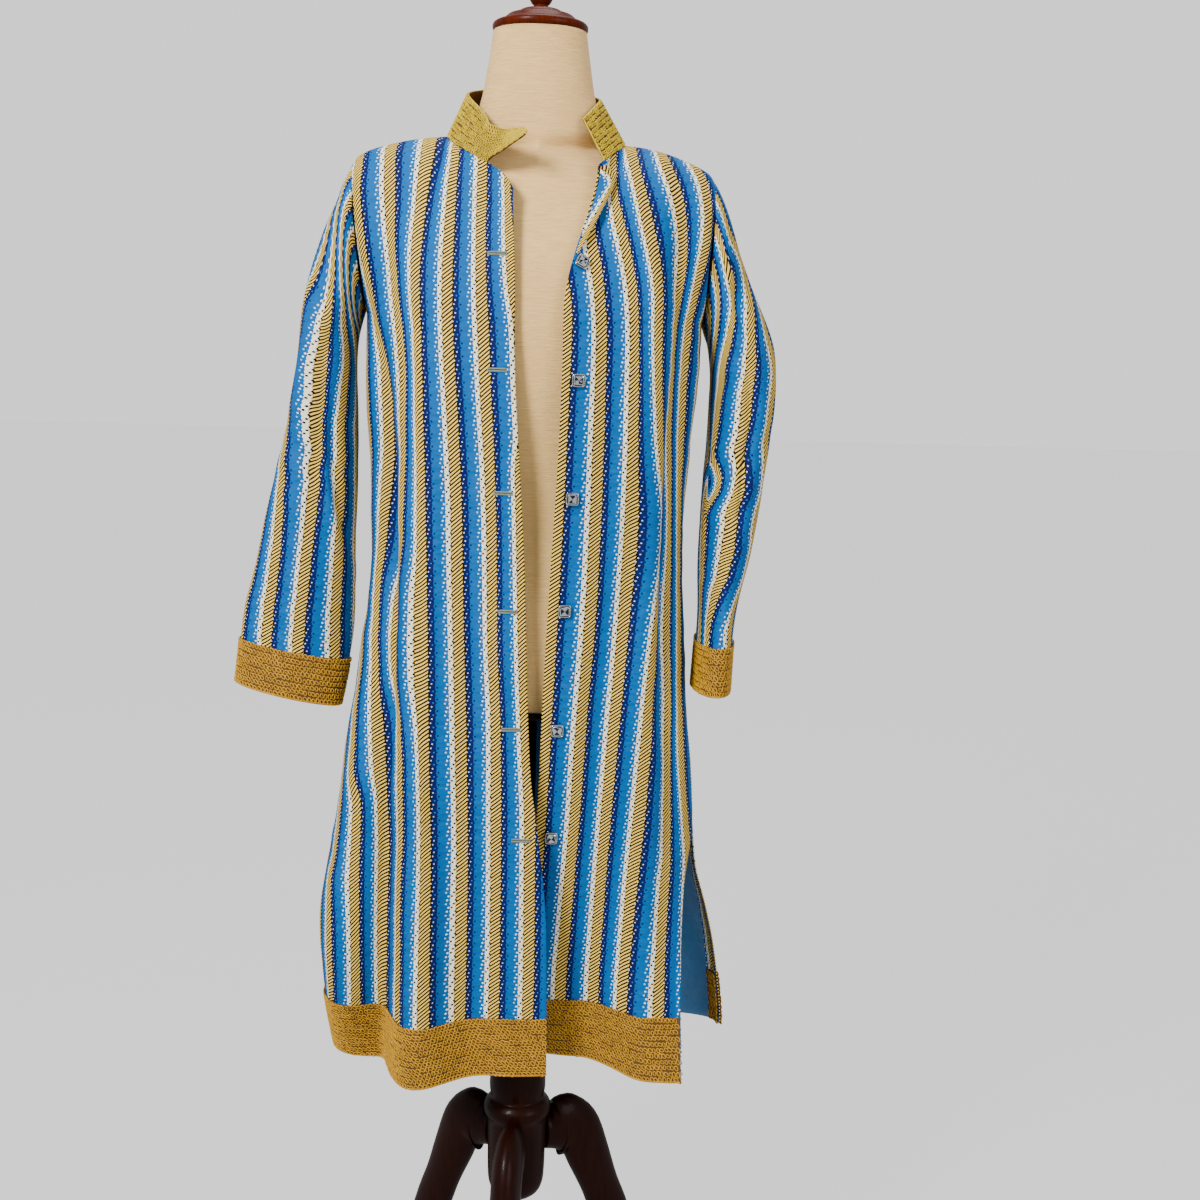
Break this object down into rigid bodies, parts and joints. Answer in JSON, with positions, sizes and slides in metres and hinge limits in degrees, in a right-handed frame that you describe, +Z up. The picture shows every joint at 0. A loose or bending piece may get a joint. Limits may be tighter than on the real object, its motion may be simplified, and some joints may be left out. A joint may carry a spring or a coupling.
{
  "type": "nehru jacket on a dress form with a wooden tripod",
  "caption": "Long striped coat with a stand collar, braided cuffs and hem, worn open on a limbless cloth dress form with a turned wooden tripod stand.",
  "frame": {"origin": "on the floor, under the middle of the overall box", "axes": "+Z up, the wearer faces -Y, the wearer's right is -X"},
  "size_m": [0.577, 0.4232, 1.552],
  "materials": {
    "cloth": "striped cotton and silk weave, soft sheen",
    "braid": "gold thread braid in slanted stitches",
    "lining": "satin lining",
    "linen": "slubbed cream linen, matt",
    "pipe": "piped buttonhole lips",
    "wood": "dark mahogany, gloss varnish",
    "pole": "dark satin paint",
    "glass": "clear faceted glass in a silver setting"
  },
  "bodies": {
    "root": {"front_right": "cloth", "front_left": "cloth", "back": "cloth", "facing_left": "cloth", "sleeve_right": "cloth", "sleeve_left": "cloth", "hem_band_front_right": "braid", "hem_band_front_left": "braid", "hem_band_back": "braid", "cuff_right": "braid", "cuff_left": "braid", "collar": "braid", "back_lining": "lining", "button_1": "glass", "buttonhole_1": "pipe", "button_2": "glass", "buttonhole_2": "pipe", "button_3": "glass", "buttonhole_3": "pipe", "button_4": "glass", "buttonhole_4": "pipe", "button_5": "glass", "buttonhole_5": "pipe", "button_6": "glass", "buttonhole_6": "pipe", "form_torso": "linen", "neck_cap": "wood", "finial": "wood", "base_plate": "wood", "column": "wood", "leg_front": "wood", "leg_back_right": "wood", "leg_back_left": "wood", "pole": "pole"}
  },
  "joints": []
}
